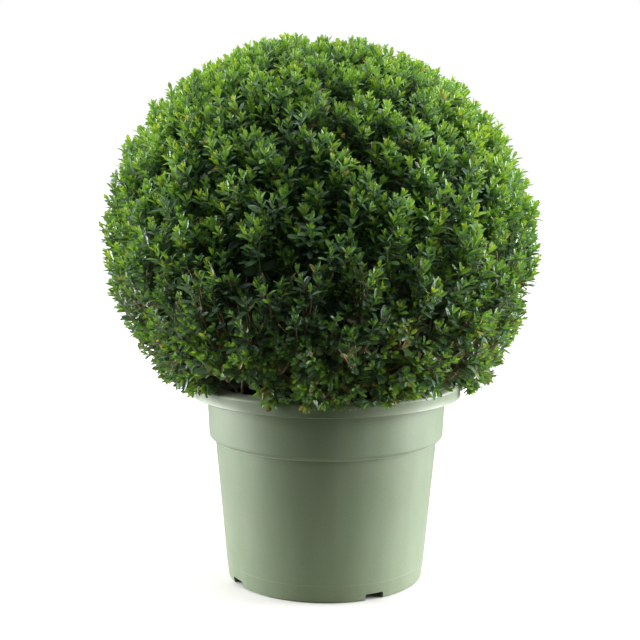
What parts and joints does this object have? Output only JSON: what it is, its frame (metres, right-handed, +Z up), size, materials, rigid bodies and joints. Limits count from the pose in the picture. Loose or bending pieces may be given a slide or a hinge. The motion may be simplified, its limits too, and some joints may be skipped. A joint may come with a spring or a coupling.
{
  "type": "potted clipped box ball",
  "caption": "Evergreen box shrub clipped to a ball on a short hidden trunk, growing in a round tapered plastic nursery container that stands on its flat base.",
  "frame": {"origin": "middle of the container's flat underside", "axes": "+Z straight up, -Y towards the front, +X to the right seen from the front"},
  "size_m": [0.6421, 0.6428, 0.7933],
  "materials": {
    "pot_plastic": "matt sage green moulded plastic, finely speckled, with faint scuffs",
    "potting_mix": "dark crumbly bark and peat compost",
    "bark": "grey-brown bark with fine lengthwise ridges",
    "box_foliage": "small oval leaves, glossy above, yellow-green at the tips and darker below"
  },
  "bodies": {
    "root": {"pot": "pot_plastic", "potting_soil": "potting_mix", "trunk": "bark", "bough_1": "bark", "bough_2": "bark", "bough_3": "bark", "bough_4": "bark", "bough_5": "bark", "bough_6": "bark", "bough_7": "bark", "foliage_ball": "box_foliage"}
  },
  "joints": []
}
